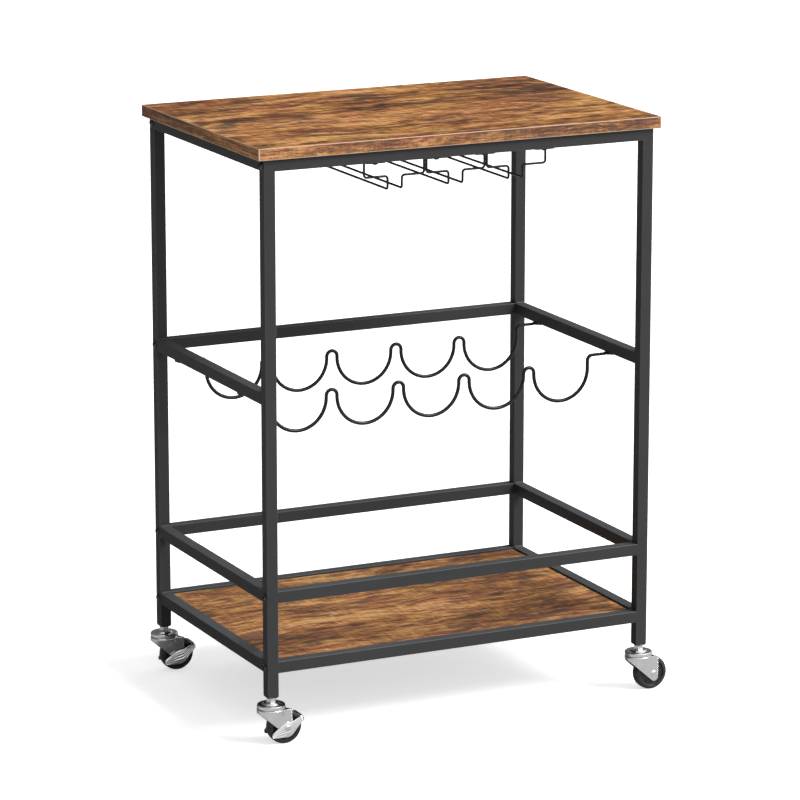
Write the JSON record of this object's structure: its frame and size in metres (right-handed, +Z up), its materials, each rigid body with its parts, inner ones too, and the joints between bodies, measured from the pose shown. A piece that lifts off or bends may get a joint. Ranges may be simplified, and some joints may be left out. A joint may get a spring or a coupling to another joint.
{
  "type": "bar cart on wheels",
  "caption": "Rolling bar cart with a tabletop, a railed bottom shelf, a wavy wire wine rack, a hanging stemware rack and swivel casters with brakes.",
  "frame": {"origin": "on the floor, under the middle of the whole cart's bounding box (the wheels trail to the right, so it is 11.1 mm to the right of the middle of the tabletop)", "axes": "+X along the length to the right, +Y to the back, +Z up"},
  "size_m": [0.6238, 0.4116, 0.813],
  "materials": {
    "woodgrain_board": "satin woodgrain print on board, rustic brown",
    "black_powder_coat": "satin black powder coat",
    "black_coated_wire": "semi-gloss black coated wire",
    "insert_plastic": "matte black",
    "wheel_rubber": "black, slightly glossy moulded",
    "chrome_stampings": "bright chrome plate",
    "bright_zinc": "bright zinc plate",
    "black_zinc_screws": "black zinc plate",
    "steel_plugs": "plain zinc plate"
  },
  "bodies": {
    "cart": {"bearing_balls": "bright_zinc", "bottom_shelf": "woodgrain_board", "caster_stem_back_left": "bright_zinc", "caster_stem_back_right": "bright_zinc", "caster_stem_front_left": "bright_zinc", "caster_stem_front_right": "bright_zinc", "frame_bolts": "black_zinc_screws", "leg_back_left": "black_powder_coat", "leg_back_right": "black_powder_coat", "leg_front_left": "black_powder_coat", "leg_front_right": "black_powder_coat", "leg_insert_back_left": "insert_plastic", "leg_insert_back_right": "insert_plastic", "leg_insert_front_left": "insert_plastic", "leg_insert_front_right": "insert_plastic", "long_rail_guard_back": "black_powder_coat", "long_rail_guard_front": "black_powder_coat", "long_rail_mid_back": "black_powder_coat", "long_rail_shelf_back": "black_powder_coat", "long_rail_shelf_front": "black_powder_coat", "long_rail_top_back": "black_powder_coat", "long_rail_top_front": "black_powder_coat", "rack_screws": "black_zinc_screws", "rail_end_plugs": "steel_plugs", "shelf_screws": "black_zinc_screws", "shelf_tabs": "black_powder_coat", "side_rail_guard_left": "black_powder_coat", "side_rail_guard_right": "black_powder_coat", "side_rail_mid_left": "black_powder_coat", "side_rail_mid_right": "black_powder_coat", "side_rail_shelf_left": "black_powder_coat", "side_rail_shelf_right": "black_powder_coat", "side_rail_top_left": "black_powder_coat", "side_rail_top_right": "black_powder_coat", "stem_rail_left": "black_coated_wire", "stem_rail_mid_left": "black_coated_wire", "stem_rail_mid_right": "black_coated_wire", "stem_rail_right": "black_coated_wire", "swivel_cup_back_left": "chrome_stampings", "swivel_cup_back_right": "chrome_stampings", "swivel_cup_front_left": "chrome_stampings", "swivel_cup_front_right": "chrome_stampings", "tabletop": "woodgrain_board", "tabletop_screws": "black_zinc_screws", "wine_rack_wire_back": "black_coated_wire", "wine_rack_wire_front": "black_coated_wire"},
    "fork_body_front_left": {"fork_front_left": "chrome_stampings", "axle_front_left": "bright_zinc"},
    "wheel_body_front_left": {"wheel_front_left": "wheel_rubber"},
    "lever_body_front_left": {"brake_lever_front_left": "chrome_stampings"},
    "fork_body_front_right": {"fork_front_right": "chrome_stampings", "axle_front_right": "bright_zinc"},
    "wheel_body_front_right": {"wheel_front_right": "wheel_rubber"},
    "fork_body_back_left": {"fork_back_left": "chrome_stampings", "axle_back_left": "bright_zinc"},
    "wheel_body_back_left": {"wheel_back_left": "wheel_rubber"},
    "lever_body_back_left": {"brake_lever_back_left": "chrome_stampings"},
    "fork_body_back_right": {"fork_back_right": "chrome_stampings", "axle_back_right": "bright_zinc"},
    "wheel_body_back_right": {"wheel_back_right": "wheel_rubber"}
  },
  "joints": [
    {"name": "swivel_front_left", "type": "hinge", "parent": "cart", "child": "fork_body_front_left", "pos_m": [-0.2921, -0.1865, 0.0536], "axis": [0, 0, 1], "continuous": true},
    {"name": "roll_front_left", "type": "hinge", "parent": "fork_body_front_left", "child": "wheel_body_front_left", "pos_m": [-0.2741, -0.1865, 0.024], "axis": [0, 1, 0], "continuous": true},
    {"name": "brake_front_left", "type": "hinge", "parent": "fork_body_front_left", "child": "lever_body_front_left", "pos_m": [-0.2741, -0.1865, 0.024], "axis": [0, 1, 0], "range_deg": [0, 18]},
    {"name": "swivel_front_right", "type": "hinge", "parent": "cart", "child": "fork_body_front_right", "pos_m": [0.2699, -0.1865, 0.0536], "axis": [0, 0, 1], "continuous": true},
    {"name": "roll_front_right", "type": "hinge", "parent": "fork_body_front_right", "child": "wheel_body_front_right", "pos_m": [0.2879, -0.1865, 0.024], "axis": [0, 1, 0], "continuous": true},
    {"name": "swivel_back_left", "type": "hinge", "parent": "cart", "child": "fork_body_back_left", "pos_m": [-0.2921, 0.1865, 0.0536], "axis": [0, 0, 1], "continuous": true},
    {"name": "roll_back_left", "type": "hinge", "parent": "fork_body_back_left", "child": "wheel_body_back_left", "pos_m": [-0.2741, 0.1865, 0.024], "axis": [0, 1, 0], "continuous": true},
    {"name": "brake_back_left", "type": "hinge", "parent": "fork_body_back_left", "child": "lever_body_back_left", "pos_m": [-0.2741, 0.1865, 0.024], "axis": [0, 1, 0], "range_deg": [0, 18]},
    {"name": "swivel_back_right", "type": "hinge", "parent": "cart", "child": "fork_body_back_right", "pos_m": [0.2699, 0.1865, 0.0536], "axis": [0, 0, 1], "continuous": true},
    {"name": "roll_back_right", "type": "hinge", "parent": "fork_body_back_right", "child": "wheel_body_back_right", "pos_m": [0.2879, 0.1865, 0.024], "axis": [0, 1, 0], "continuous": true}
  ]
}
